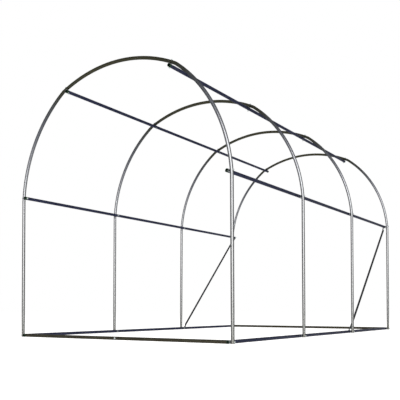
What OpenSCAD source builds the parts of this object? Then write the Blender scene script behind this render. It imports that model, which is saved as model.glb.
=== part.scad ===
// Bare frame of a walk-in polytunnel greenhouse: steel tube hoops, rails, sills and braces.
// X runs across the tunnel, Y along it with the front at -Y, and Z up from the ground.
// Each hoop is two legs, two shoulder tubes and a crown tube, swaged into one another.

/* [Tunnel] */
// Number of hoops along the tunnel
hoop_count = 4; // [2:1:5]
// Distance from one hoop to the next
bay = 1136; // [700:4:1400]
// Width over the feet of a hoop
foot_w = 2006; // [1600:2:2450]
// Distance each leg leans in from its foot to its upper end
lean_in = 6.5; // [0:0.5:30]

/* [Hoop] */
// Height at which a leg ends and its shoulder tube begins
leg_h = 1106; // [900:2:1350]
// Height of the arch, from there to over the crown
arch_h = 956; // [760:2:1150]
// Lean of a shoulder tube where it begins, in degrees from upright
shoulder_lean = 3.2; // [0:0.05:8]
// Straight distance between the two ends of the crown tube
crown_span = 1070; // [800:10:1280]
// Rise of the crown tube above its ends
crown_rise = 125; // [90:1:150]

/* [Tube] */
// Outer diameter of the tube
tube_od = 25; // [19:0.5:32]
// Wall of the tube
tube_wall = 1; // [0.8:0.1:1.5]
// Radial clearance of a swaged end in the next tube
swage_fit = 0.2; // [0.15:0.05:0.4]
// Length of a swaged end
swage_len = 60; // [50:1:90]
// Gap left between two tubes at a swaged joint
butt_gap = 0.3; // [0.2:0.1:0.6]

/* [Rails and sills] */
// Distance of the shoulder rail bolt above the joint of leg and shoulder tube
rail_in = 27; // [20:1:35]
// Distance of the purlin bolt from the end of the crown tube
purlin_in = 38; // [30:1:55]
// Length of each rail and side sill past the end hoops
rail_over = 17.5; // [14:0.5:40]
// Distance of a splice behind the hoop that its bolt fixes it to
splice_in = 28; // [22:1:35]

/* [Saddles] */
// Thickness of the saddle between hoop and rail
saddle_t = 1.2; // [1:0.2:3]
// Length of the saddle along the rail
saddle_len = 34; // [24:1:40]
// Part of the rail that the saddle wraps, in degrees
saddle_wrap = 110; // [80:5:110]
// Clearance between pieces that are bolted against each other
seat_gap = 0.1; // [0.05:0.05:0.2]

/* [Bolts] */
// Thread diameter of the bolts
bolt_d = 6; // [5:1:8]
// How much wider the bolt holes are than the bolts
hole_fit = 0.6; // [0.4:0.1:1.5]
// Width of the hexagon heads and nuts across flats
hex_af = 10; // [8:1:13]
// Height of the hexagon heads
head_h = 4; // [3:0.5:6]
// Height of the nuts
nut_h = 5; // [4:0.5:7]
// Outer diameter of the washers
washer_od = 14; // [12:0.5:18]
// Thickness of the washers
washer_t = 1.6; // [1:0.2:2]
// Length of thread that shows past a nut
thread_out = 4; // [1:0.5:8]

/* [Ends] */
// Length of the plug in each end of a cross sill
plug_len = 34; // [26:1:50]
// Thickness of the plug's flange
flange_t = 2; // [1.5:0.5:4]
// Height of the anchor holes in the legs of the middle hoops
anchor_h = 56; // [45:1:90]

/* [Braces] */
// Outer diameter of the brace tube
brace_od = 19; // [16:0.5:22]
// Thickness of the flattened ends of a brace
tab_t = 3; // [2:0.2:4]
// Width of the flattened ends of a brace
tab_w = 22; // [18:1:24]
// Length of the flattened end past its bolt
tab_len = 30; // [24:1:45]
// Length over which the brace tube turns into its flattened end
tab_blend = 35; // [25:1:60]
// How much fuller the blend is than the flattened end it leaves
blend_step = 0.4; // [0.2:0.1:1]

/* [Hidden] */
tube_r = tube_od / 2;
bore_r = tube_r - tube_wall;
spigot_r = bore_r - swage_fit;
spigot_bore_r = spigot_r - tube_wall;
collar_t = 2 * tube_wall;
hole_d = bolt_d + hole_fit;
slack = 1;                         // how far a cut runs past what it cuts
rail_off = tube_od + saddle_t + 2 * seat_gap;

// Hoop centreline on the +X side, as [x, z] points and two arcs
foot_x = foot_w / 2 - tube_r;
eaves_x = foot_x - lean_in;
crown_half = crown_span / 2;
crown_top = leg_h + arch_h - tube_r;
crown_r = (crown_half^2 + crown_rise^2) / (2 * crown_rise);
crown_c = [0, crown_top - crown_r];
joint_low = [eaves_x, leg_h];
joint_high = [crown_half, crown_top - crown_rise];
chord = joint_high - joint_low;
to_centre = [-cos(shoulder_lean), -sin(shoulder_lean)];
shoulder_r = chord * chord / (2 * chord * to_centre);
shoulder_c = joint_low + shoulder_r * to_centre;
leg_lean = atan2(lean_in, leg_h);
function angle_of(p, c) = atan2(p[1] - c[1], p[0] - c[0]);
function arc_deg(len, r) = len / r * 180 / PI;
shoulder_a0 = angle_of(joint_low, shoulder_c);
shoulder_a1 = angle_of(joint_high, shoulder_c);
crown_a0 = angle_of(joint_high, crown_c);

// A station is where a bolt crosses a hoop: [x, z, angle of the outward normal from +X]
function arc_station(c, r, a) = [c[0] + r * cos(a), c[1] + r * sin(a), a];
rail_station = arc_station(shoulder_c, shoulder_r, shoulder_a0 + arc_deg(rail_in, shoulder_r));
purlin_station = arc_station(crown_c, crown_r, crown_a0 + arc_deg(purlin_in, crown_r));
sill_station = [foot_x - tube_r * tan(leg_lean), tube_r, 0];
stations = [sill_station, rail_station, purlin_station];

tunnel_len = (hoop_count - 1) * bay;
function hoop_y(i) = i * bay - tunnel_len / 2;
back = hoop_count - 1;
sill_face_x = sill_station[0] - rail_off - tube_r;
cross_half = sill_face_x - seat_gap - flange_t;
brace_x = tab_t / 2 + seat_gap;

SIDES = ["left", "right"];
LINES = ["side_sill", "shoulder_rail", "purlin"];
HOOP_PARTS = ["left_leg", "right_leg", "left_shoulder", "right_shoulder", "crown", "bolts", "saddles"];
$fn = 64;

// ---- helpers ----

// A round bar along +Z
module bar(r, h) { cylinder(r = r, h = h); }

// A ring or tube along +Z
module pipe(r, bore, h) {
    difference() {
        bar(r, h);
        translate([0, 0, -slack]) bar(bore, h + 2 * slack);
    }
}

// A bent bar in the XZ plane about centre c, from angle a0 to a1
module bent_bar(c, r, a0, a1, outer) {
    translate([c[0], 0, c[1]]) rotate([90, 0, 0]) rotate([0, 0, a0])
        rotate_extrude(angle = a1 - a0, $fn = 360) translate([r, 0]) circle(r = outer, $fn = 64);
}

// A bent tube; its bore runs a little past both ends
module bent_pipe(c, r, a0, a1, outer, bore) {
    past = arc_deg(slack, r);
    difference() {
        bent_bar(c, r, a0, a1, outer);
        bent_bar(c, r, a0 - past, a1 + past, bore);
    }
}

// Places children at a station, with +X along the outward normal and +Z along the hoop
module at_station(s) { translate([s[0], 0, s[1]]) rotate([0, -s[2], 0]) children(); }

// Turns children so that their Z axis lies along X
module along_x() { rotate([0, 90, 0]) children(); }

// Turns children so that their Z axis lies along Y
module along_y() { rotate([-90, 0, 0]) children(); }

module on_side(side) { mirror([side == "left" ? 1 : 0, 0, 0]) children(); }

module at_hoop(i) { translate([0, hoop_y(i), 0]) children(); }

// The drill for a bolt that runs along X through a hoop and the rail inside it
module bolt_drill(s) {
    at_station(s) translate([-rail_off - tube_od, 0, 0]) along_x() bar(hole_d / 2, rail_off + 2 * tube_od);
}

// Reduced end of a tube that begins at the origin and points along -Z, with its collar
module swaged_end() {
    pipe(tube_r, spigot_bore_r, collar_t);
    translate([0, 0, -swage_len]) pipe(spigot_r, spigot_bore_r, swage_len + collar_t / 2);
}

// ---- hoop tubes, each drawn on the +X side in the plane Y = 0 ----

// Everything below the joint at angle a of an arc: a half-space square to the arc's tangent
module below_joint(c, r, a) {
    reach = 2 * (leg_h + arch_h);
    translate([c[0], 0, c[1]]) rotate([0, -a, 0])
        translate([r - reach, -reach, -2 * reach - butt_gap]) cube(2 * reach);
}

// Web and reduced end of the lower tube at a joint. The web lies inside the tube's wall, and the
// reduced end follows the bend of the tube that it enters
module joint_swage(c, r, a) {
    web_low = a - arc_deg(collar_t + 2 * butt_gap, r);
    web_high = a - arc_deg(2 * butt_gap, r);
    tip = a + arc_deg(swage_len, r);
    past = arc_deg(slack, r);
    difference() {
        union() {
            bent_bar(c, r, web_low, web_high, (tube_r + bore_r) / 2);
            bent_bar(c, r, (web_low + web_high) / 2, tip, spigot_r);
        }
        bent_bar(c, r, web_low - past, tip + past, spigot_bore_r);
    }
}

// Places children in the leaning leg, with +Z up its axis from the ground
module in_leg() { translate([foot_x, 0, 0]) rotate([0, -leg_lean, 0]) children(); }

module leg(anchored) {
    color("gainsboro") difference() {
        union() {
            intersection() {
                in_leg() translate([0, 0, -tube_r]) pipe(tube_r, bore_r, leg_h + tube_od);
                translate([0, -tube_od, 0]) cube([foot_w, 2 * tube_od, leg_h + tube_od]);
                below_joint(shoulder_c, shoulder_r, shoulder_a0);
            }
            joint_swage(shoulder_c, shoulder_r, shoulder_a0);
        }
        bolt_drill(sill_station);
        bolt_drill(rail_station);
        if (anchored) in_leg() translate([-tube_od, 0, anchor_h]) along_x() bar(hole_d / 2, 2 * tube_od);
    }
}

module shoulder() {
    color("darkgray") difference() {
        union() {
            intersection() {
                bent_pipe(shoulder_c, shoulder_r, shoulder_a0,
                          shoulder_a1 + arc_deg(tube_r, shoulder_r), tube_r, bore_r);
                below_joint(crown_c, crown_r, crown_a0);
            }
            joint_swage(crown_c, crown_r, crown_a0);
        }
        bolt_drill(rail_station);
        bolt_drill(purlin_station);
    }
}

module crown() {
    color("darkolivegreen") difference() {
        bent_pipe(crown_c, crown_r, crown_a0, 180 - crown_a0, tube_r, bore_r);
        for (side = SIDES) on_side(side) bolt_drill(purlin_station);
    }
}

// ---- fixings ----

// Hexagon bolt along -X. Its washer seats at x = 0 and its shank ends at x = -len
module bolt(len) {
    along_x() {
        bar(washer_od / 2, washer_t);
        translate([0, 0, washer_t]) cylinder(r = hex_af / 2 / cos(30), h = head_h, $fn = 6);
        translate([0, 0, -len]) bar(bolt_d / 2, len + washer_t);
    }
}

// Washer and nut on a bolt, seated at x = 0 and standing out along -X
module nut() {
    along_x() {
        translate([0, 0, -washer_t]) bar(washer_od / 2, washer_t);
        translate([0, 0, -washer_t - nut_h]) cylinder(r = hex_af / 2 / cos(30), h = nut_h, $fn = 6);
    }
}

function bolt_grip(extra) = 2 * tube_od + saddle_t + 4 * seat_gap + extra;

// Bolt through a hoop tube and a rail; extra is the thickness clamped under the nut besides them
module rail_bolt(s, extra) {
    at_station(s) translate([tube_r + seat_gap, 0, 0]) {
        bolt(bolt_grip(extra) + washer_t + nut_h + thread_out);
        translate([-bolt_grip(extra), 0, 0]) nut();
    }
}

// Corner bolt: it has no nut and screws into the plug of the cross sill
module corner_bolt() {
    at_station(sill_station) translate([tube_r + seat_gap, 0, 0])
        bolt(bolt_grip(0) + flange_t + plug_len * 0.7);
}

// Extra grip where a brace's flattened end sits under the nut
function brace_grip(i, n) = (i == back - 1 && n == 0) || (i == back && n == 1) ? tab_t + seat_gap : 0;

module hoop_bolts(i) {
    color("silver") for (side = SIDES) on_side(side) {
        if (i == 0 || i == back) corner_bolt();
        else rail_bolt(stations[0], brace_grip(i, 0));
        for (n = [1, 2]) rail_bolt(stations[n], brace_grip(i, n));
    }
}

// Curved plate that lies round the rail and carries the hoop on its back
module saddle() {
    translate([-rail_off, 0, 0]) difference() {
        translate([0, -saddle_len / 2, 0]) along_y() rotate([0, 0, -saddle_wrap / 2])
            rotate_extrude(angle = saddle_wrap) translate([tube_r + seat_gap, 0])
                square([saddle_t, saddle_len]);
        along_x() bar(hole_d / 2, tube_od);
    }
}

module hoop_saddles() {
    color("whitesmoke") for (side = SIDES, s = stations) on_side(side) at_station(s) saddle();
}

// ---- rails, purlins and side sills: one spliced tube each, inside the hoops ----

// One tube from hoop i to the next, its front end swaged into the tube before it
module line_tube(i) {
    from = hoop_y(i) + (i == 0 ? -rail_over : splice_in + butt_gap);
    to = hoop_y(i + 1) + (i == back - 1 ? rail_over : splice_in);
    translate([0, from, 0]) along_y() {
        pipe(tube_r, bore_r, to - from);
        if (i > 0) swaged_end();
    }
}

module line(s) {
    color("midnightblue") difference() {
        translate([s[0] - rail_off * cos(s[2]), 0, s[1] - rail_off * sin(s[2])])
            for (i = [0:back - 1]) line_tube(i);
        for (i = [0:back]) at_hoop(i) bolt_drill(s);
    }
}

// ---- cross sills at the front and back, in the plane of the end hoops ----

// Two tubes that meet in the middle; the +X one is swaged into the other
module cross_sill() {
    color("darkolivegreen") translate([0, 0, tube_r]) difference() {
        union() {
            translate([-cross_half, 0, 0]) along_x() pipe(tube_r, bore_r, cross_half + swage_len / 2);
            translate([swage_len / 2 + butt_gap, 0, 0]) along_x() {
                pipe(tube_r, bore_r, cross_half - swage_len / 2 - butt_gap);
                swaged_end();
            }
        }
        translate([0, -tube_od, 0]) along_y() bar(hole_d / 2, 2 * tube_od);
    }
}

// Plug with a flange: it closes the sill's end and takes the corner bolt
module plug() {
    translate([cross_half, 0, 0]) along_x() difference() {
        union() {
            bar(tube_r, flange_t);
            translate([0, 0, -plug_len]) bar(bore_r - swage_fit, plug_len + flange_t / 2);
        }
        translate([0, 0, -plug_len - slack]) bar(bolt_d / 2 + seat_gap, plug_len + flange_t + 2 * slack);
    }
}

module sill_plugs() {
    color("black") translate([0, 0, tube_r]) for (side = SIDES) on_side(side) plug();
}

// Bolt through the splice; out is 1 where its head faces +Y and -1 where it faces the front
module splice_bolt(out) {
    color("silver") translate([0, 0, tube_r]) rotate([0, 0, out * 90])
        translate([tube_r + seat_gap, 0, 0]) {
            bolt(tube_od + 2 * seat_gap + washer_t + nut_h + thread_out);
            translate([-tube_od - 2 * seat_gap, 0, 0]) nut();
        }
}

// ---- braces in the last bay, from the foot of one hoop to the shoulder of the next ----

// Middle of a brace's flat, which sits between the rail and the nut at station s of hoop i
function flat_point(i, s) = [
    s[0] - (rail_off + tube_r + brace_x) * cos(s[2]),
    hoop_y(i),
    s[1] - (rail_off + tube_r + brace_x) * sin(s[2])];

function outward(s) = [cos(s[2]), 0, sin(s[2])];

// Direction v turned into the flat's plane at station s, as a unit vector
function in_flat(s, v) = let (w = v - (v * outward(s)) * outward(s)) w / norm(w);

// The flats lie flush with the inner side of the brace tube, so its axis lies further out
tube_shift = (brace_od - tab_t) / 2;

flat_low = flat_point(back - 1, sill_station);
flat_high = flat_point(back, rail_station);
flat_run = flat_high - flat_low;
brace_low = flat_low + tab_len * in_flat(sill_station, flat_run) + tube_shift * outward(sill_station);
brace_high = flat_high - tab_len * in_flat(rail_station, flat_run) + tube_shift * outward(rail_station);
brace_run = brace_high - brace_low;

// Turns +Z to direction v, with +X kept square to the tunnel's length
module towards(v) {
    rotate([atan2(-v[1], v[2]), 0, 0]) rotate([0, atan2(v[0], norm([v[1], v[2]])), 0]) children();
}

// Round-ended strip with the bolt hole, square to the bolt at station s. It is centred on
// point p and runs in direction v, which lies in its plane
module flat(p, s, v) {
    along_hoop = v[2] * cos(s[2]) - v[0] * sin(s[2]);
    translate(p) rotate([0, -s[2], 0]) rotate([atan2(-v[1], along_hoop), 0, 0])
        rotate([90, 0, 90]) translate([0, 0, -tab_t / 2]) linear_extrude(tab_t) difference() {
            union() {
                circle(r = tab_w / 2);
                translate([-tab_w / 2, 0]) square([tab_w, tab_len]);
            }
            circle(r = hole_d / 2);
        }
}

// Blend from a flat to the round tube whose axis begins at point p and runs in direction v. It
// is a little fuller than the flat, and its far end lies inside the tube's wall
module flat_blend(p, v) {
    t = tab_t + blend_step;
    w = tab_w + blend_step;
    translate(p) towards(v) hull() {
        translate([-tube_shift - t / 2, -w / 2, -slack]) cube([t, w, slack]);
        translate([0, 0, tab_blend]) cylinder(r = brace_od / 2 - tube_wall / 2, h = slack, $fn = 32);
    }
}

module brace() {
    color("dimgray") {
        flat(flat_low, sill_station, in_flat(sill_station, flat_run));
        flat(flat_high, rail_station, -in_flat(rail_station, flat_run));
        flat_blend(brace_low, brace_run);
        flat_blend(brace_high, -brace_run);
        translate(brace_low) towards(brace_run) translate([0, 0, tab_blend])
            pipe(brace_od / 2, brace_od / 2 - tube_wall, norm(brace_run) - 2 * tab_blend);
    }
}

module show(name) { children(); }

for (i = [0:back]) {
    at_hoop(i) for (side = SIDES) on_side(side) {
        show(str("hoop_", i + 1, "_", side, "_leg")) leg(i > 0 && i < back);
        show(str("hoop_", i + 1, "_", side, "_shoulder")) shoulder();
    }
    at_hoop(i) show(str("hoop_", i + 1, "_crown")) crown();
    at_hoop(i) show(str("hoop_", i + 1, "_bolts")) hoop_bolts(i);
    at_hoop(i) show(str("hoop_", i + 1, "_saddles")) hoop_saddles();
}
for (side = SIDES, n = [0:2]) show(str(side, "_", LINES[n])) on_side(side) line(stations[n]);
at_hoop(0) show("front_sill") cross_sill();
at_hoop(0) show("front_sill_plugs") sill_plugs();
at_hoop(0) show("front_sill_bolt") splice_bolt(-1);
at_hoop(back) show("back_sill") cross_sill();
at_hoop(back) show("back_sill_plugs") sill_plugs();
at_hoop(back) show("back_sill_bolt") splice_bolt(1);
for (side = SIDES) show(str(side, "_brace")) on_side(side) brace();
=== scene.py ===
import math

import bmesh
import bpy
from mathutils import Matrix, Vector


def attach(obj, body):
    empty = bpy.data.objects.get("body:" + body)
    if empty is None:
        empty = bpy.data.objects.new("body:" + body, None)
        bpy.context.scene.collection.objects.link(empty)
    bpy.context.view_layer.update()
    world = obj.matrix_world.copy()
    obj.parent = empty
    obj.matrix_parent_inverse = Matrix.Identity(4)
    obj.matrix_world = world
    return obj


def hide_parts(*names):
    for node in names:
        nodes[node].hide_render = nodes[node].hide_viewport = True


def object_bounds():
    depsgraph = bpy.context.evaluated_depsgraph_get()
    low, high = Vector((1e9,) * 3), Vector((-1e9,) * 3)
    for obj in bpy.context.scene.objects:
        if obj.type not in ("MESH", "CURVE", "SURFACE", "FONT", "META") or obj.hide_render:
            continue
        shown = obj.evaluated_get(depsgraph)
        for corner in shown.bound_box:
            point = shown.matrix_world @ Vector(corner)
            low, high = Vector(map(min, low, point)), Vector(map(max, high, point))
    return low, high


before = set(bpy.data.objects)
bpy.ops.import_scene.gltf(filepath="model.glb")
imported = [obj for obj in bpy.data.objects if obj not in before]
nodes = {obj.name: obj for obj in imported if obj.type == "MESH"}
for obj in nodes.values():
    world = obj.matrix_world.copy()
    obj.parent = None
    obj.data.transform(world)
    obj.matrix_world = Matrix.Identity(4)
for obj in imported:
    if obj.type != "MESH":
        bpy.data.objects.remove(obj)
cad_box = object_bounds()

# ---- camera: it stands low, four metres out from the near right-hand foot, and looks along the
# tunnel. The lens is shifted up, so that the legs stay upright while the crowns are in view.
EYE = (3.0524, -5.2699, 0.2298)
TILT, HEADING = math.radians(90.41), 0.5759

lens = bpy.data.cameras.new("camera")
lens.sensor_width, lens.lens, lens.shift_y = 36, 57.02, 0.2602
camera = bpy.data.objects.new("camera", lens)
camera.location, camera.rotation_euler = EYE, (TILT, 0, HEADING)
bpy.context.scene.collection.objects.link(camera)
bpy.context.scene.camera = camera
bpy.context.scene.view_settings.view_transform = "Standard"

# ---- hoop tubes: two legs, two shoulder tubes and a crown tube in each of the four hoops. They
# are 25 mm steel tube, roll formed and seam-welded, then bent, swaged at the upper end of the
# lower tube of each joint, and hot-dip galvanised.
HOOPS = (1, 2, 3, 4)
HOOP_TUBES = ("left_leg", "right_leg", "left_shoulder", "right_shoulder", "crown")
BEND_CENTRE = (0, 0, 1.05)               # the shoulder and crown tubes bend round about here
SEAM_FADE, SEAM_FULL = 0.10, 0.05        # half widths of the weld seam, in radii of the tube
SPLASH_TOP = 0.03                        # how far up splashes reach, as a share of the height
CLOUD_SHIFT = 0.04                       # how far clouds move the painted shade up and down, as such a share
HOOP_MOTTLE = 0.05                       # how far a crystal's tone strays from the mean


def linear(colour):
    """An sRGB colour such as "8a8d90", as linear red, green, blue and alpha."""
    parts = [int(colour[i:i + 2], 16) / 255 for i in (0, 2, 4)]
    return (*(c / 12.92 if c <= 0.04045 else ((c + 0.055) / 1.055) ** 2.4 for c in parts), 1)


def connect(tree, node, inputs):
    """Gives each named input of a node a value, an output socket, a node (for that node's first
    output) or a list of nodes."""
    for name, value in inputs.items():
        for source in value if isinstance(value, list) else [value]:
            if isinstance(source, bpy.types.Node):
                source = source.outputs[0]
            if isinstance(source, bpy.types.NodeSocket):
                tree.links.new(source, node.inputs[name])
            else:
                node.inputs[name].default_value = source


def add(tree, kind, inputs=None, steps=(), **settings):
    """Adds a node with its settings and links; steps are the places and colours of a ramp."""
    node = tree.nodes.new(kind)
    for name, value in settings.items():
        setattr(node, name, value)
    connect(tree, node, inputs or {})
    for i, (place, colour) in enumerate(steps):
        points = node.color_ramp.elements
        point = points[i] if i < 2 else points.new(place)
        point.position, point.color = place, linear(colour)
    return node


def new_finish(name, metallic, edge=1.0):
    """An empty material: its tree, its shader, and the node that gives place and normal. An
    edge below 1 keeps a dull metal from whitening where it is seen at a low angle."""
    finish = bpy.data.materials.new(name)
    finish.use_nodes = True
    tree = finish.node_tree
    tree.nodes.clear()
    shader = add(tree, "ShaderNodeBsdfPrincipled",
                 {"Metallic": metallic, "Specular Tint": (edge, edge, edge, 1)})
    add(tree, "ShaderNodeOutputMaterial", {"Surface": shader})
    return finish, tree, shader, add(tree, "ShaderNodeTexCoord")


def put_on(finish, names):
    """Gives CAD nodes their finish."""
    for name in names:
        for slot in nodes[name].material_slots:
            slot.material = finish


def per_metre(millimetres):
    """The scale of a pattern whose parts are that wide."""
    return 1000 / millimetres


def zinc_crystals(tree, at, size, spread):
    """A grey factor near 1 that differs from one crystal of a zinc coat to the next. The size
    is in millimetres."""
    crystal = add(tree, "ShaderNodeTexVoronoi", {"Vector": at.outputs["Object"],
                                                 "Scale": per_metre(size)})
    grey = add(tree, "ShaderNodeSeparateColor", {"Color": crystal.outputs["Color"]})
    return add(tree, "ShaderNodeMapRange", {"Value": grey, "To Min": 1 - spread,
                                            "To Max": 1 + spread})


# Hot-dip galvanised steel: a smooth grey zinc coat with crystals, drawn 12 mm wide where real
# ones are 5 mm, so that they show as a faint mottle. It is splashed brown at the foot. Its tone
# by height is painted light: a little lighter up the shoulders, a painted highlight, and dark
# olive over the crown, painted shade. The weld seam is a fine darker ridge on the inner side of
# the bend.
hoop_zinc, tree, shader, at = new_finish("galvanised_steel_hoop", 1, edge=0.4)
place = add(tree, "ShaderNodeSeparateXYZ", {"Vector": at.outputs["Object"]}).outputs
cloud = add(tree, "ShaderNodeTexNoise", {"Vector": at.outputs["Object"], "Scale": per_metre(120),
                                         "Detail": 4})
shift = add(tree, "ShaderNodeMapRange", {"Value": cloud, "To Min": -CLOUD_SHIFT,
                                         "To Max": CLOUD_SHIFT})
height = add(tree, "ShaderNodeMath", {0: place["Z"], 1: 1 / cad_box[1].z, 2: shift},
             operation="MULTIPLY_ADD")
# Painted light by height: a painted highlight a little lighter up the shoulders, and painted
# shade in dark olive over the crown.
painted_light_by_height = add(tree, "ShaderNodeValToRGB", {"Fac": height}, steps=[
    (0.00, "616260"), (0.10, "626363"), (0.53, "646567"), (0.63, "686a6d"), (0.70, "696a6e"),
    (0.76, "5a5c61"), (0.82, "4b4d52"), (0.87, "414345"), (0.92, "33342d"), (1.00, "38372b")])
crystal = zinc_crystals(tree, at, 12, HOOP_MOTTLE)
facing = add(tree, "ShaderNodeSeparateXYZ", {"Vector": at.outputs["Normal"]}).outputs
sideways = add(tree, "ShaderNodeMath", {0: facing["Y"]}, operation="ABSOLUTE")
near_seam = add(tree, "ShaderNodeMapRange", {"Value": sideways, "From Min": SEAM_FADE,
                                             "From Max": SEAM_FULL})
inward = add(tree, "ShaderNodeVectorMath", {0: BEND_CENTRE, 1: at.outputs["Object"]},
             operation="SUBTRACT")
inner = add(tree, "ShaderNodeVectorMath", {0: inward, 1: at.outputs["Normal"]},
            operation="DOT_PRODUCT").outputs["Value"]
inner_side = add(tree, "ShaderNodeMapRange", {"Value": inner, "From Max": 0.05})
seam = add(tree, "ShaderNodeMath", {0: near_seam, 1: inner_side}, operation="MULTIPLY")
seam_tone = add(tree, "ShaderNodeMapRange", {"Value": seam, "To Min": 1, "To Max": 0.8})
tone = add(tree, "ShaderNodeMath", {0: crystal, 1: seam_tone}, operation="MULTIPLY")
clean = add(tree, "ShaderNodeVectorMath", {0: painted_light_by_height, "Scale": tone}, operation="SCALE")
splash = add(tree, "ShaderNodeMapRange", {"Value": height, "From Min": SPLASH_TOP,
                                          "From Max": 0, "To Max": 0.35})
coat = add(tree, "ShaderNodeMix", {0: splash, 6: clean, 7: linear("4f4d45")},
           data_type="RGBA").outputs[2]
matt = add(tree, "ShaderNodeMapRange", {
    "Value": crystal, "From Min": 1 - HOOP_MOTTLE, "From Max": 1 + HOOP_MOTTLE,
    "To Min": 0.22, "To Max": 0.28})
rough = add(tree, "ShaderNodeMath", {0: splash, 1: 0.3, 2: matt}, operation="MULTIPLY_ADD")
ridge = add(tree, "ShaderNodeBump", {"Height": seam, "Distance": 0.0002})
connect(tree, shader, {"Base Color": coat, "Roughness": rough, "Normal": ridge})
put_on(hoop_zinc, [f"hoop_{i}_{tube}" for i in HOOPS for tube in HOOP_TUBES])

# ---- rails, purlins and side sills: three 25 mm steel tubes along each side, inside the hoops
# and bolted to every one of them. Each is three lengths swaged into one another behind a hoop,
# with its dark navy a painted reflection, and its cut ends dipped in a dark green lacquer.
RAIL_LINES = ("side_sill", "shoulder_rail", "purlin")
DIPPED, DIP_EDGE = 0.016, 0.002          # length of lacquer on a cut end, and its soft edge

# Dark steel: a violet navy that is painted reflection, with clouds some 70 mm wide, fine
# streaks along the tube from the drawing die, drawn 3 mm apart where real ones are under 1 mm,
# and greyer rubs.
navy_reflection_steel, tree, shader, at = new_finish("navy_reflection_steel_rail", 1, edge=0.6)
along = add(tree, "ShaderNodeMapping", {"Vector": at.outputs["Object"], "Scale": (1, 0.03, 1)})
streak = add(tree, "ShaderNodeTexNoise", {"Vector": along, "Scale": per_metre(3), "Detail": 2})
cloud = add(tree, "ShaderNodeTexNoise", {"Vector": at.outputs["Object"], "Scale": per_metre(70),
                                         "Detail": 4})
skin = add(tree, "ShaderNodeMath", {0: streak, 1: 0.35, 2: cloud}, operation="MULTIPLY_ADD")
# The violet navy is painted reflection of dark surroundings; the clouds and streaks vary it.
blue = add(tree, "ShaderNodeValToRGB", {"Fac": skin}, steps=[
    (0.50, "222538"), (0.68, "282b3f"), (0.82, "303347")])
rubbed = add(tree, "ShaderNodeTexNoise", {"Vector": along, "Scale": per_metre(20), "Detail": 6})
rub = add(tree, "ShaderNodeMapRange", {"Value": rubbed, "From Min": 0.62, "From Max": 0.72,
                                       "To Max": 0.5})
worn = add(tree, "ShaderNodeMix", {0: rub, 6: blue, 7: linear("4a4d5c")},
           data_type="RGBA").outputs[2]
place = add(tree, "ShaderNodeSeparateXYZ", {"Vector": at.outputs["Object"]}).outputs
from_middle = add(tree, "ShaderNodeMath", {0: place["Y"]}, operation="ABSOLUTE")
dipped = add(tree, "ShaderNodeMapRange", {"Value": from_middle,
                                          "From Min": cad_box[1].y - DIPPED - DIP_EDGE,
                                          "From Max": cad_box[1].y - DIPPED + DIP_EDGE})
ended = add(tree, "ShaderNodeMix", {0: dipped, 6: worn, 7: linear("253b2a")},
            data_type="RGBA").outputs[2]
matt = add(tree, "ShaderNodeMapRange", {"Value": skin, "From Min": 0.5, "From Max": 0.85,
                                        "To Min": 0.34, "To Max": 0.46})
grain = add(tree, "ShaderNodeBump", {"Height": streak, "Distance": 0.00005})
connect(tree, shader, {"Base Color": ended, "Roughness": matt, "Normal": grain})
put_on(navy_reflection_steel, [f"{side}_{line}" for side in ("left", "right") for line in RAIL_LINES])

# ---- cross sills: a two-part 25 mm tube on the ground across each end, swaged and bolted at
# the middle. Zinc-plated; its dark olive is painted reflection, and it turns a brown olive where
# soil splashes it.
MUD_NONE, MUD_FULL = 0.013, 0.007        # levels at which dried mud ends and is thickest
MUD_WAVE = 0.012                         # how far the stains lower those levels at most

# Olive zinc, whose dark olive is painted reflection: broad stains along the tube some 90 mm
# long, over a dull satin coat, with dried mud on the lowest 7 mm or so.
olive_reflection_zinc, tree, shader, at = new_finish("olive_reflection_zinc_sill", 1, edge=0.6)
along = add(tree, "ShaderNodeMapping", {"Vector": at.outputs["Object"], "Scale": (0.2, 1, 1)})
stain = add(tree, "ShaderNodeTexNoise", {"Vector": along, "Scale": per_metre(18), "Detail": 5})
# The dark olive is painted reflection; the stains vary it at random.
olive = add(tree, "ShaderNodeValToRGB", {"Fac": stain}, steps=[
    (0.32, "312f28"), (0.50, "38362d"), (0.68, "413f34")])
place = add(tree, "ShaderNodeSeparateXYZ", {"Vector": at.outputs["Object"]}).outputs
level = add(tree, "ShaderNodeMath", {0: stain, 1: MUD_WAVE, 2: place["Z"]},
            operation="MULTIPLY_ADD")
mud = add(tree, "ShaderNodeMapRange", {"Value": level, "From Min": MUD_NONE,
                                       "From Max": MUD_FULL, "To Max": 0.7})
soiled = add(tree, "ShaderNodeMix", {0: mud, 6: olive, 7: linear("3f382b")},
             data_type="RGBA").outputs[2]
rough = add(tree, "ShaderNodeMath", {0: mud, 1: 0.4, 2: 0.4}, operation="MULTIPLY_ADD")
crust = add(tree, "ShaderNodeBump", {"Height": stain, "Strength": mud, "Distance": 0.0003})
connect(tree, shader, {"Base Color": soiled, "Roughness": rough, "Normal": crust})
put_on(olive_reflection_zinc, ["front_sill", "back_sill"])

# ---- sill plugs: one in each end of a cross sill. Its flange closes the tube, and the corner
# bolt screws into it. Dark green polyethylene, injection moulded.

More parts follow.
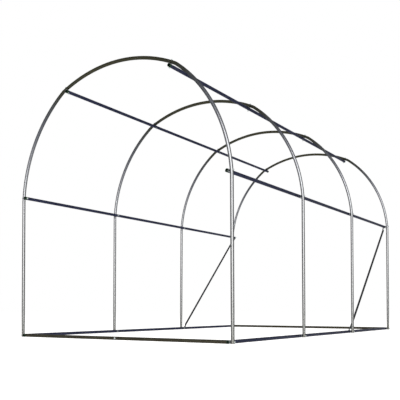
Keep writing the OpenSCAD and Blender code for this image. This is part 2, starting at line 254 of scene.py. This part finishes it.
# Moulded polyethylene: a satin skin with a moulding grain of 1.2 mm, drawn twice as coarse as
# the real one, and paler chalky scuffs some 10 mm wide.
green_plastic, tree, shader, at = new_finish("green_polyethylene_plug", 0)
grit = add(tree, "ShaderNodeTexNoise", {"Vector": at.outputs["Object"], "Scale": per_metre(1.2),
                                        "Detail": 2})
chalk = add(tree, "ShaderNodeTexNoise", {"Vector": at.outputs["Object"], "Scale": per_metre(10),
                                         "Detail": 5})
scuffed = add(tree, "ShaderNodeValToRGB", {"Fac": chalk}, steps=[
    (0.45, "1e2b1c"), (0.62, "283825"), (0.78, "3f4b3c")])
matt = add(tree, "ShaderNodeMapRange", {"Value": chalk, "To Min": 0.38, "To Max": 0.62})
grain = add(tree, "ShaderNodeBump", {"Height": grit, "Strength": 0.5, "Distance": 0.0001})
connect(tree, shader, {"Base Color": scuffed, "Roughness": matt, "Normal": grain})
put_on(green_plastic, ["front_sill_plugs", "back_sill_plugs"])

# ---- saddles: a curved plate between each hoop and each rail, which keeps the two round tubes
# from rolling on each other. Pressed from 1.2 mm galvanised strip and held by the rail's bolt.
SADDLE_MOTTLE = 0.06                     # how far a crystal's tone strays from the mean

# Galvanised strip: flat bright crystals of 8 mm, and brushed lines round the curve from the
# press tool, drawn 1 mm apart where real ones are a few tenths.
strip_zinc, tree, shader, at = new_finish("galvanised_strip_saddle", 1)
crystal = zinc_crystals(tree, at, 8, SADDLE_MOTTLE)
across = add(tree, "ShaderNodeMapping", {"Vector": at.outputs["Object"],
                                         "Scale": (0.05, 1, 0.05)})
line = add(tree, "ShaderNodeTexNoise", {"Vector": across, "Scale": per_metre(1), "Detail": 2})
lined = add(tree, "ShaderNodeValToRGB", {"Fac": line}, steps=[
    (0.30, "8e9294"), (0.50, "9b9fa1"), (0.70, "a8acad")])
bright = add(tree, "ShaderNodeVectorMath", {0: lined, "Scale": crystal}, operation="SCALE")
matt = add(tree, "ShaderNodeMapRange", {
    "Value": crystal, "From Min": 1 - SADDLE_MOTTLE, "From Max": 1 + SADDLE_MOTTLE,
    "To Min": 0.28, "To Max": 0.42})
grain = add(tree, "ShaderNodeBump", {"Height": line, "Distance": 0.00004})
connect(tree, shader, {"Base Color": bright, "Roughness": matt, "Normal": grain})
put_on(strip_zinc, [f"hoop_{i}_saddles" for i in HOOPS])

# ---- bolts: M6 hexagon bolts with two washers and a nut. The head is outside the hoop and the
# nut on the inner side of the rail; a corner bolt has no nut and screws into the sill's plug.
# Cold-headed steel with a rolled thread, zinc-plated.
BOLT_SIZES = {"Thread Diameter": 0.006, "Thread Pitch": 0.001, "Thread Shown": 0.004,
              "Width Across Flats": 0.010, "Head Height": 0.004, "Nut Height": 0.005,
              "Washer Diameter": 0.014, "Washer Thickness": 0.0016}
HEX_CORNER = 0.5774                      # from the middle of a hexagon one wide to a corner
CONE_TOP, CONE_FOOT = 0.475, 1.167       # radii of the cone to which its corners are turned
WASHER_BORE, WASHER_EASE = 1.07, 0.0002  # bore in threads, and how far its edges are eased
RIDGE_CORNER, THREAD_DEPTH = 0.577, 0.75  # of the thread's triangular ridge, in pitches
FACETS = {"hexagon cone": 48, "rod": 24, "washer": 40, "thread turn": 24}

# Bright zinc plate: a clean white metal that the passivation tints faintly straw in some
# places and blue in others, in patches of about 3 mm, with handling marks in its gloss.
bolt_zinc, tree, shader, at = new_finish("zinc_plated_bolt", 1)
film = add(tree, "ShaderNodeTexNoise", {"Vector": at.outputs["Object"], "Scale": per_metre(3),
                                        "Detail": 3})
tint = add(tree, "ShaderNodeValToRGB", {"Fac": film}, steps=[
    (0.32, "98a3ad"), (0.50, "a6adae"), (0.68, "b0aea2")])
matt = add(tree, "ShaderNodeMapRange", {"Value": film, "To Min": 0.16, "To Max": 0.36})
connect(tree, shader, {"Base Color": tint, "Roughness": matt})

# The tree puts a bolt on every point of a mesh. A point lies on the seat under the bolt's head
# and holds its outward axis, its reach to the nut's seat or to its tip, and 1 if it has a nut.
tree = bpy.data.node_groups.new("bolts_and_nuts", "GeometryNodeTree")
tree.interface.new_socket("Geometry", in_out="OUTPUT", socket_type="NodeSocketGeometry")
tree.interface.new_socket("Geometry", in_out="INPUT", socket_type="NodeSocketGeometry")
bolt_keys = {name: tree.interface.new_socket(name, in_out="INPUT",
                                             socket_type="NodeSocketFloat").identifier
             for name in BOLT_SIZES}
finish_key = tree.interface.new_socket("Finish", in_out="INPUT",
                                       socket_type="NodeSocketMaterial").identifier
given = add(tree, "NodeGroupInput").outputs
thread_r = add(tree, "ShaderNodeMath", {0: given["Thread Diameter"], 1: 0.5},
               operation="MULTIPLY")


def hexagon(across, height, both_sides):
    """A hexagon blank that stands on Z = 0, with its corners turned off at the top, or also at
    the bottom. It is made one wide and one high, and then stretched to its size."""
    blank = add(tree, "GeometryNodeMeshCylinder", {"Vertices": 6, "Radius": HEX_CORNER,
                                                   "Depth": 4})
    cone = add(tree, "GeometryNodeMeshCone", {
        "Vertices": FACETS["hexagon cone"], "Radius Top": CONE_TOP, "Radius Bottom": CONE_FOOT,
        "Depth": 1})
    cuts = [blank, cone]
    if both_sides:
        cuts.append(add(tree, "GeometryNodeTransform", {
            "Geometry": cone, "Translation": (0, 0, 1), "Rotation": (math.pi, 0, 0)}))
    turned = add(tree, "GeometryNodeMeshBoolean", {"Mesh 2": cuts}, operation="INTERSECT",
                 solver="EXACT")
    size = add(tree, "ShaderNodeCombineXYZ", {"X": across, "Y": across, "Z": height})
    return add(tree, "GeometryNodeTransform", {"Geometry": turned, "Scale": size})


def rod(radius, length):
    """A round bar that hangs from Z = 0."""
    sunk = add(tree, "ShaderNodeMath", {0: length, 1: -0.5}, operation="MULTIPLY")
    down = add(tree, "ShaderNodeCombineXYZ", {"Z": sunk})
    bar = add(tree, "GeometryNodeMeshCylinder", {"Vertices": FACETS["rod"], "Radius": radius,
                                                 "Depth": length})
    return add(tree, "GeometryNodeTransform", {"Geometry": bar, "Translation": down})


def lifted(part, height):
    """The part, moved up by a height."""
    up = add(tree, "ShaderNodeCombineXYZ", {"Z": height})
    return add(tree, "GeometryNodeTransform", {"Geometry": part, "Translation": up})


# Washer: a flat section swept round a circle, centred on Z = 0, with its stamped edges eased
bore = add(tree, "ShaderNodeMath", {0: given["Thread Diameter"], 1: WASHER_BORE},
           operation="MULTIPLY")
rim = add(tree, "ShaderNodeMath", {0: given["Washer Diameter"], 1: bore}, operation="SUBTRACT")
rim_w = add(tree, "ShaderNodeMath", {0: rim, 1: 0.5}, operation="MULTIPLY")
span = add(tree, "ShaderNodeMath", {0: given["Washer Diameter"], 1: rim_w},
           operation="SUBTRACT")
ring_r = add(tree, "ShaderNodeMath", {0: span, 1: 0.5}, operation="MULTIPLY")
ring = add(tree, "GeometryNodeCurvePrimitiveCircle", {"Resolution": FACETS["washer"],
                                                      "Radius": ring_r})
edge = add(tree, "GeometryNodeCurvePrimitiveQuadrilateral",
           {"Width": rim_w, "Height": given["Washer Thickness"]})
eased = add(tree, "GeometryNodeFilletCurve", {"Curve": edge, "Count": 2,
                                              "Radius": WASHER_EASE}, mode="POLY")
washer = add(tree, "GeometryNodeCurveToMesh", {"Curve": ring, "Profile Curve": eased})

# Head: it stands on its washer, on the seat at Z = 0
half_t = add(tree, "ShaderNodeMath", {0: given["Washer Thickness"], 1: 0.5},
             operation="MULTIPLY")
head_hex = hexagon(given["Width Across Flats"], given["Head Height"], both_sides=False)
neck = lifted(rod(thread_r, given["Washer Thickness"]), given["Washer Thickness"])
head = add(tree, "GeometryNodeJoinGeometry", {"Geometry": [
    lifted(washer, half_t), neck, lifted(head_hex, given["Washer Thickness"])]})

# Nut: it hangs under its washer, with the end of the shank and its thread below it
nut_low = add(tree, "ShaderNodeMath", {0: given["Washer Thickness"], 1: given["Nut Height"]},
              operation="ADD")
nut_drop = add(tree, "ShaderNodeMath", {0: nut_low, 1: -1}, operation="MULTIPLY")
washer_drop = add(tree, "ShaderNodeMath", {0: half_t, 1: -1}, operation="MULTIPLY")
root_r = add(tree, "ShaderNodeMath", {0: given["Thread Pitch"], 1: -THREAD_DEPTH, 2: thread_r},
             operation="MULTIPLY_ADD")
helix_r = add(tree, "ShaderNodeMath", {0: given["Thread Pitch"], 1: -RIDGE_CORNER, 2: thread_r},
              operation="MULTIPLY_ADD")
ridge_r = add(tree, "ShaderNodeMath", {0: given["Thread Pitch"], 1: RIDGE_CORNER},
              operation="MULTIPLY")
turns = add(tree, "ShaderNodeMath", {0: given["Thread Shown"], 1: given["Thread Pitch"]},
            operation="DIVIDE")
helix = add(tree, "GeometryNodeCurveSpiral", {
    "Resolution": FACETS["thread turn"], "Rotations": turns, "Start Radius": helix_r,
    "End Radius": helix_r, "Height": given["Thread Shown"]})
upright = add(tree, "GeometryNodeSetCurveNormal", {"Curve": helix}, mode="Z_UP")
ridge = add(tree, "GeometryNodeCurvePrimitiveCircle", {"Resolution": 3, "Radius": ridge_r})
thread = add(tree, "GeometryNodeCurveToMesh", {"Curve": upright, "Profile Curve": ridge,
                                               "Fill Caps": True})
tail_drop = add(tree, "ShaderNodeMath", {0: nut_drop, 1: given["Thread Shown"]},
                operation="SUBTRACT")
nut_hex = hexagon(given["Width Across Flats"], given["Nut Height"], both_sides=True)
nut = add(tree, "GeometryNodeJoinGeometry", {"Geometry": [
    lifted(washer, washer_drop), lifted(nut_hex, nut_drop), rod(thread_r, nut_low),
    lifted(rod(root_r, given["Thread Shown"]), nut_drop), lifted(thread, tail_drop)]})

# Heads and shanks go on every point, and nuts where the shank's reach ends
axis = add(tree, "GeometryNodeInputNamedAttribute", {"Name": "axis"}, data_type="FLOAT_VECTOR")
reach = add(tree, "GeometryNodeInputNamedAttribute", {"Name": "reach"}, data_type="FLOAT")
nutted = add(tree, "GeometryNodeInputNamedAttribute", {"Name": "nutted"}, data_type="BOOLEAN")
turn = add(tree, "FunctionNodeAlignRotationToVector", {"Vector": axis}, axis="Z")
heads = add(tree, "GeometryNodeInstanceOnPoints", {"Points": given["Geometry"],
                                                   "Instance": head, "Rotation": turn})
length = add(tree, "ShaderNodeCombineXYZ", {"X": 1, "Y": 1, "Z": reach})
shanks = add(tree, "GeometryNodeInstanceOnPoints", {
    "Points": given["Geometry"], "Instance": rod(thread_r, 1), "Rotation": turn,
    "Scale": length})
back = add(tree, "ShaderNodeMath", {0: reach, 1: -1}, operation="MULTIPLY")
through = add(tree, "ShaderNodeVectorMath", {0: axis, "Scale": back}, operation="SCALE")
nut_seats = add(tree, "GeometryNodeSetPosition", {"Geometry": given["Geometry"],
                                                  "Offset": through})
nuts = add(tree, "GeometryNodeInstanceOnPoints", {
    "Points": nut_seats, "Selection": nutted, "Instance": nut, "Rotation": turn})
placed = add(tree, "GeometryNodeJoinGeometry", {"Geometry": [heads, shanks, nuts]})
real = add(tree, "GeometryNodeRealizeInstances", {"Geometry": placed})
plated = add(tree, "GeometryNodeSetMaterial", {"Geometry": real, "Material": given["Finish"]})
add(tree, "NodeGroupOutput", {"Geometry": plated})
bolt_tree = tree

# Each bolt's place, axis and reach are read off the CAD node that its finished mesh replaces.
WELD, SHARP = 1e-5, 30                   # metres between doubles, and degrees of a sharp edge


def bolts_in(name):
    """The bolts of a CAD node, in order of height, each as the seat under its head, its outward
    axis, its reach, and whether it has a nut."""
    solid = bmesh.new()
    solid.from_mesh(nodes[name].data)
    bmesh.ops.remove_doubles(solid, verts=solid.verts, dist=WELD)
    found, seen = [], set()
    for first in solid.faces:
        if first in seen:
            continue
        seen.add(first)
        faces, waiting = [], [first]
        while waiting:
            face = waiting.pop()
            faces.append(face)
            for other in (f for edge in face.edges for f in edge.link_faces if f not in seen):
                seen.add(other)
                waiting.append(other)
        found.append(one_bolt(faces))
    solid.free()
    return sorted(found, key=lambda bolt: (round(bolt[0].z, 3), bolt[0].x))


def one_bolt(faces):
    """Reads a bolt off its faces. Its end faces are the ones that stand out furthest."""
    points = [v.co.copy() for face in faces for v in face.verts]
    centre = sum(points, Vector()) / len(points)
    end = max(faces, key=lambda face: (face.calc_center_median() - centre) @ face.normal)
    outward = centre - Vector((0, 0, cad_box[1].z / 2))
    axis = end.normal if end.normal @ outward > 0 else -end.normal
    across = axis.orthogonal().normalized()
    upward = axis.cross(across)
    spread = [[p @ way for p in points] for way in (axis, across, upward)]
    on_axis = sum(((min(s) + max(s)) / 2 * way for s, way in
                   zip(spread[1:], (across, upward))), Vector())
    tip, top = min(spread[0]), max(spread[0])
    seat = top - BOLT_SIZES["Head Height"] - BOLT_SIZES["Washer Thickness"]
    nut_seat = tip + sum(BOLT_SIZES[part] for part in
                         ("Thread Shown", "Nut Height", "Washer Thickness"))
    low_end = [p for p in points if p @ axis < nut_seat]
    has_nut = any((p - on_axis - p @ axis * axis).length > BOLT_SIZES["Thread Diameter"]
                  for p in low_end)
    return on_axis + seat * axis, axis.copy(), seat - (nut_seat if has_nut else tip), has_nut


def smooth(mesh):
    """Shades a mesh smooth, apart from its sharp edges."""
    mesh.shade_smooth()
    mesh.set_sharp_from_angle(angle=math.radians(SHARP))


def made_real(piece):
    """Turns a piece and its modifiers into a plain mesh, and takes the modifiers and the empty
    material slots off."""
    bpy.context.view_layer.update()
    done = piece.evaluated_get(bpy.context.evaluated_depsgraph_get())
    piece.data = bpy.data.meshes.new_from_object(done)
    piece.modifiers.clear()
    slots = piece.data.materials
    for place in reversed(range(len(slots))):
        if slots[place] is None:
            slots.pop(index=place)
    smooth(piece.data)


bolts = {}
for name in [f"hoop_{i}_bolts" for i in HOOPS] + ["front_sill_bolt", "back_sill_bolt"]:
    bolts[name] = bolts_in(name)
    seats = bpy.data.meshes.new(f"{name}_hexagon")
    seats.from_pydata([bolt[0] for bolt in bolts[name]], [], [])
    for what, kind, key, values in (
            ("axis", "FLOAT_VECTOR", "vector", [c for bolt in bolts[name] for c in bolt[1]]),
            ("reach", "FLOAT", "value", [bolt[2] for bolt in bolts[name]]),
            ("nutted", "BOOLEAN", "value", [bolt[3] for bolt in bolts[name]])):
        seats.attributes.new(what, kind, "POINT").data.foreach_set(key, values)
    piece = bpy.data.objects.new(f"{name}_hexagon", seats)
    bpy.context.scene.collection.objects.link(piece)
    maker = piece.modifiers.new("bolts_and_nuts", "NODES")
    maker.node_group = bolt_tree
    for what, size in BOLT_SIZES.items():
        maker[bolt_keys[what]] = size
    maker[finish_key] = bolt_zinc
    made_real(piece)
    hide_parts(name)
    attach(piece, "root")

# ---- braces: one on each side of the last bay, from the foot of hoop 3 up to the shoulder rail
# at hoop 4. Each is a 19 mm galvanised tube whose ends are pressed flat, rounded and punched,
# and are held under the nuts of the rail bolts.
BRACE_R, FLAT_T, FLAT_W = 0.0095, 0.003, 0.022  # tube radius; the flat's thickness and width
FLAT_LEN, FLAT_BLEND = 0.030, 0.035      # from the bolt to the end of the flat, and on to round
HOLE_R, SEAT_GAP = 0.0033, 0.0001        # bolt hole, and the play between flat and washer
RING, STEPS = 40, 12                     # points round a brace, and sections in a tip or blend
SQUARED = 0.75                           # how much squarer a flat's section is than an ellipse

# Galvanised tube: darker and duller than the hoops, with crystals of 9 mm. Where the tube is
# pressed flat the zinc has flaked to a brighter, rougher grey.
brace_zinc, tree, shader, at = new_finish("galvanised_steel_brace", 1, edge=0.6)
crystal = zinc_crystals(tree, at, 9, 0.05)
cloud = add(tree, "ShaderNodeTexNoise", {"Vector": at.outputs["Object"], "Scale": per_metre(50),
                                         "Detail": 4})
grey = add(tree, "ShaderNodeValToRGB", {"Fac": cloud}, steps=[
    (0.30, "2a2c2e"), (0.50, "303234"), (0.70, "37393b")])
flaked = add(tree, "ShaderNodeTexNoise", {"Vector": at.outputs["Object"], "Scale": per_metre(6),
                                          "Detail": 4})
pressed = add(tree, "ShaderNodeAttribute", attribute_name="pressed").outputs["Fac"]
flake = add(tree, "ShaderNodeMath", {0: flaked, 1: pressed}, operation="MULTIPLY")
bare = add(tree, "ShaderNodeMapRange", {"Value": flake, "From Min": 0.35, "From Max": 0.6})
coat = add(tree, "ShaderNodeMix", {0: bare, 6: grey, 7: linear("7d8082")},
           data_type="RGBA").outputs[2]
mottled = add(tree, "ShaderNodeVectorMath", {0: coat, "Scale": crystal}, operation="SCALE")
matt = add(tree, "ShaderNodeMapRange", {"Value": flake, "To Min": 0.38, "To Max": 0.6})
grain = add(tree, "ShaderNodeBump", {"Height": flake, "Distance": 0.0001})
connect(tree, shader, {"Base Color": mottled, "Roughness": matt, "Normal": grain})


def flat_place(bolt):
    """Middle of the pressed flat that a bolt's nut holds against the rail."""
    seat, axis, reach = bolt[:3]
    return seat - (reach - SEAT_GAP - FLAT_T / 2) * axis


def end_sections(bolt, far_flat):
    """Sections of one end of a brace, from its rounded tip to the round tube, each as centre,
    outward way, half thickness, half width and how far it is pressed, from 1 to 0."""
    centre, axis = flat_place(bolt), bolt[1]
    run = far_flat - centre
    way = (run - run @ axis * axis).normalized()
    tip_r, half_t = FLAT_W / 2, FLAT_T / 2
    sections = []
    for i in range(1, STEPS + 1):
        angle = math.radians(90 * i / STEPS)
        sections.append((centre - tip_r * math.cos(angle) * way, axis, half_t,
                         tip_r * math.sin(angle), 1))
    sections.append((centre + FLAT_LEN * way, axis, half_t, tip_r, 1))
    inner = centre + FLAT_LEN * way - half_t * axis
    for i in range(1, STEPS + 1):
        part = i / STEPS
        ease = part * part * (3 - 2 * part)
        thick = half_t + (BRACE_R - half_t) * ease
        wide = tip_r + (BRACE_R - tip_r) * ease
        sections.append((inner + part * FLAT_BLEND * run.normalized() + thick * axis, axis,
                         thick, wide, 1 - ease))
    return sections


for side, sign in (("left", -1), ("right", 1)):
    low, high = ([bolt for bolt in bolts[f"hoop_{i}_bolts"] if bolt[0].x * sign > 0][n]
                 for i, n in ((3, 0), (4, 1)))
    sections = (end_sections(low, flat_place(high))
                + end_sections(high, flat_place(low))[::-1])
    run = (flat_place(high) - flat_place(low)).normalized()
    shape = bmesh.new()
    pressed = shape.verts.layers.float.new("pressed")
    rings = []
    for centre, axis, thick, wide, press in sections:
        side_way = axis.cross(run).normalized()
        power = 1 - SQUARED * press
        ring = []
        for k in range(RING):
            across, out = (math.copysign(abs(t) ** power, t) for t in
                           (math.cos(math.tau * k / RING), math.sin(math.tau * k / RING)))
            ring.append(shape.verts.new(centre + across * wide * side_way + out * thick * axis))
            ring[-1][pressed] = press
        rings.append(ring)
    for one, other in zip(rings, rings[1:]):
        for k in range(RING):
            shape.faces.new((one[k], one[k - 1], other[k - 1], other[k]))
    shape.faces.new(rings[0])
    shape.faces.new(rings[-1])
    bmesh.ops.recalc_face_normals(shape, faces=shape.faces)
    mesh = bpy.data.meshes.new(f"{side}_pressed_brace")
    shape.to_mesh(mesh)
    shape.free()
    mesh.materials.append(brace_zinc)
    brace = bpy.data.objects.new(f"{side}_pressed_brace", mesh)
    bpy.context.scene.collection.objects.link(brace)

    punch = bmesh.new()
    for bolt in (low, high):
        at_bolt = Matrix.Translation(flat_place(bolt)) @ bolt[1].to_track_quat(
            "Z", "Y").to_matrix().to_4x4()
        bmesh.ops.create_cone(punch, cap_ends=True, segments=32, radius1=HOLE_R,
                              radius2=HOLE_R, depth=4 * FLAT_T, matrix=at_bolt)
    punch_mesh = bpy.data.meshes.new("punch")
    punch.to_mesh(punch_mesh)
    punch.free()
    punch_tool = bpy.data.objects.new("punch", punch_mesh)
    bpy.context.scene.collection.objects.link(punch_tool)
    hole = brace.modifiers.new("holes", "BOOLEAN")
    hole.operation, hole.solver, hole.object = "DIFFERENCE", "EXACT", punch_tool
    made_real(brace)
    bpy.data.objects.remove(punch_tool)
    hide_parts(f"{side}_brace")
    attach(brace, "root")

# ---- studio: a pale floor, white surroundings, and one broad softbox behind the camera, which
# draws a light line down every tube.
SKY_LIGHT = 0.75                         # light from the surroundings, which are seen at 1
FLOOR_REACH, FLOOR_GLOW = 60, 0.4        # metres to its edge, and how much it whitens to the eye
SOFTBOX_AT, SOFTBOX_AIM = Vector((7.2, -10.6, 3.4)), Vector((0, 0, 1.1))


def seen_or_mirrored(tree):
    """1 for what the camera sees directly or in a surface, and 0 for what only gives light."""
    ray = add(tree, "ShaderNodeLightPath").outputs
    both = add(tree, "ShaderNodeMath", {0: ray["Is Camera Ray"], 1: ray["Is Glossy Ray"]},
               operation="ADD")
    return add(tree, "ShaderNodeMath", {0: both, 1: ray["Is Transmission Ray"]},
               operation="ADD", use_clamp=True)


world = bpy.data.worlds.new("studio")
bpy.context.scene.world = world
world.use_nodes = True
tree = world.node_tree
tree.nodes.clear()
level = add(tree, "ShaderNodeMapRange", {"Value": seen_or_mirrored(tree), "To Min": SKY_LIGHT})
sky = add(tree, "ShaderNodeBackground", {"Color": (1, 1, 1, 1), "Strength": level})
add(tree, "ShaderNodeOutputWorld", {"Surface": sky})

floor_mesh = bpy.data.meshes.new("floor")
floor_mesh.from_pydata([(x * FLOOR_REACH, y * FLOOR_REACH, 0) for x, y in
                        ((-1, -1), (1, -1), (1, 1), (-1, 1))], [], [(0, 1, 2, 3)])
floor = bpy.data.objects.new("floor", floor_mesh)
bpy.context.scene.collection.objects.link(floor)
floor_paint = bpy.data.materials.new("pale_floor_paint")
floor_paint.use_nodes = True
tree = floor_paint.node_tree
tree.nodes.clear()
paint = add(tree, "ShaderNodeBsdfDiffuse", {"Color": linear("e6e6e6")})
lift = add(tree, "ShaderNodeMapRange", {"Value": seen_or_mirrored(tree), "To Max": FLOOR_GLOW})
glow = add(tree, "ShaderNodeEmission", {"Color": (1, 1, 1, 1), "Strength": lift})
both = add(tree, "ShaderNodeAddShader", {0: paint, 1: glow})
add(tree, "ShaderNodeOutputMaterial", {"Surface": both})
floor_mesh.materials.append(floor_paint)

softbox = bpy.data.lights.new("softbox", "AREA")
softbox.shape, softbox.size, softbox.size_y = "RECTANGLE", 14, 12
softbox.energy, softbox.color = 3900, linear("fffdfa")[:3]
stand = bpy.data.objects.new("softbox", softbox)
stand.location = SOFTBOX_AT
stand.rotation_euler = (SOFTBOX_AT - SOFTBOX_AIM).to_track_quat("Z", "Y").to_euler()
bpy.context.scene.collection.objects.link(stand)
